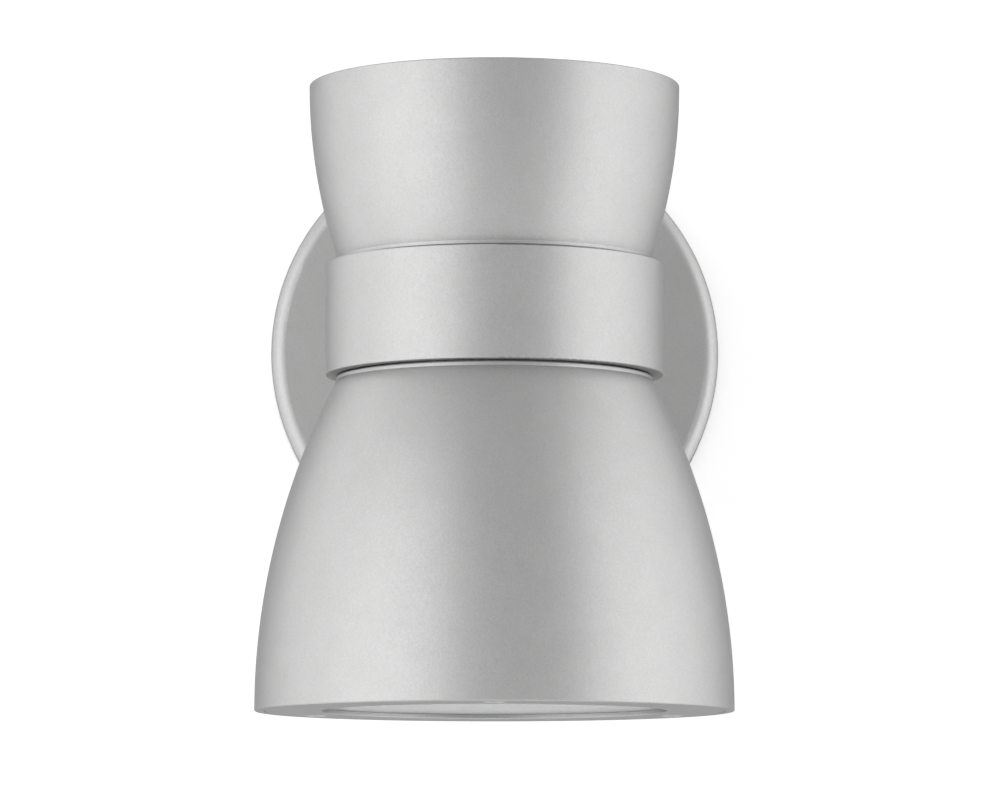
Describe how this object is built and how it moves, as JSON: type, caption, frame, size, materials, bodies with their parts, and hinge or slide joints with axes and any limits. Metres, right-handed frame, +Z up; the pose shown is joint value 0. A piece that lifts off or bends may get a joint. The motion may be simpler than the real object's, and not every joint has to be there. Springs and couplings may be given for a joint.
{
  "type": "up-and-down wall sconce",
  "caption": "Wall sconce: a round backplate and short arm carry a plain band with a short upward and a tall downward flared shade, each closed by a recessed glass lens in a flat face ring.",
  "frame": {"origin": "on the wall, in the middle between the mounting strap's two box slots and behind the arm", "axes": "+Y into the wall, so the sconce stands out of it towards -Y; +Z up; +X to the right for someone who faces the wall"},
  "size_m": [0.1284, 0.1622, 0.1688],
  "materials": {
    "silver_paint": "fine-textured satin silver powder coat on die-cast aluminium",
    "lens_glass": "tempered glass, etched to a satin face",
    "reflector_metal": "spun and brightened",
    "bare_aluminium": "extruded, clear anodised",
    "zinc_steel": "bright zinc plated",
    "stainless": "stainless, as turned",
    "bright_nut": "nickel plated",
    "ground_green": "green-dyed zinc",
    "gasket_rubber": "closed-cell black",
    "grommet_rubber": "moulded black",
    "thermal_pad_grey": "soft, filled",
    "chip_ceramic": "white ceramic substrate",
    "phosphor": "yellow silicone",
    "white_moulding": "heat-resistant white",
    "driver_moulding": "white flame-retardant moulding",
    "potting_resin": "black casting resin",
    "terminal_moulding": "natural polyamide",
    "brass_clamp": "plain turned",
    "tinned_copper": "tin plated",
    "wire_red": "insulation",
    "wire_black": "insulation",
    "wire_white": "insulation",
    "wire_green_yellow": "green insulation with a yellow stripe"
  },
  "bodies": {
    "root": {"wall_gasket": "gasket_rubber", "mounting_strap": "zinc_steel", "clinch_studs": "zinc_steel", "cap_nuts": "bright_nut", "nut_seal_washers": "grommet_rubber", "ground_screw": "ground_green", "backplate": "silver_paint", "wire_grommet": "grommet_rubber", "arm": "silver_paint", "arm_gasket": "gasket_rubber", "arm_plate_screws": "stainless", "arm_body_screws": "stainless", "driver_case": "driver_moulding", "driver_potting": "potting_resin", "driver_screws": "stainless", "terminal_block": "terminal_moulding", "terminal_clamps": "brass_clamp", "terminal_clamp_screws": "zinc_steel", "terminal_block_screws": "stainless", "earth_screw": "stainless", "earth_lug": "tinned_copper", "earth_lead": "wire_green_yellow", "supply_lead_line": "wire_black", "supply_lead_neutral": "wire_white", "centre_housing": "silver_paint", "heat_sink": "bare_aluminium", "heat_sink_screws": "stainless", "upper_shade": "silver_paint", "upper_face_ring": "silver_paint", "upper_face_ring_screws": "stainless", "upper_lens": "lens_glass", "upper_lens_gasket": "gasket_rubber", "upper_reflector": "reflector_metal", "upper_thermal_pad": "thermal_pad_grey", "upper_led_chip": "chip_ceramic", "upper_led_phosphor": "phosphor", "upper_led_holder": "white_moulding", "upper_holder_screws": "stainless", "upper_shade_screws": "stainless", "upper_joint_gasket": "gasket_rubber", "upper_floor_grommet": "grommet_rubber", "upper_lead_positive": "wire_red", "upper_lead_negative": "wire_black", "lower_shade": "silver_paint", "lower_face_ring": "silver_paint", "lower_face_ring_screws": "stainless", "lower_lens": "lens_glass", "lower_lens_gasket": "gasket_rubber", "lower_reflector": "reflector_metal", "lower_thermal_pad": "thermal_pad_grey", "lower_led_chip": "chip_ceramic", "lower_led_phosphor": "phosphor", "lower_led_holder": "white_moulding", "lower_holder_screws": "stainless", "lower_shade_screws": "stainless", "lower_joint_gasket": "gasket_rubber", "lower_floor_grommet": "grommet_rubber", "lower_lead_positive": "wire_red", "lower_lead_negative": "wire_black"}
  },
  "joints": []
}
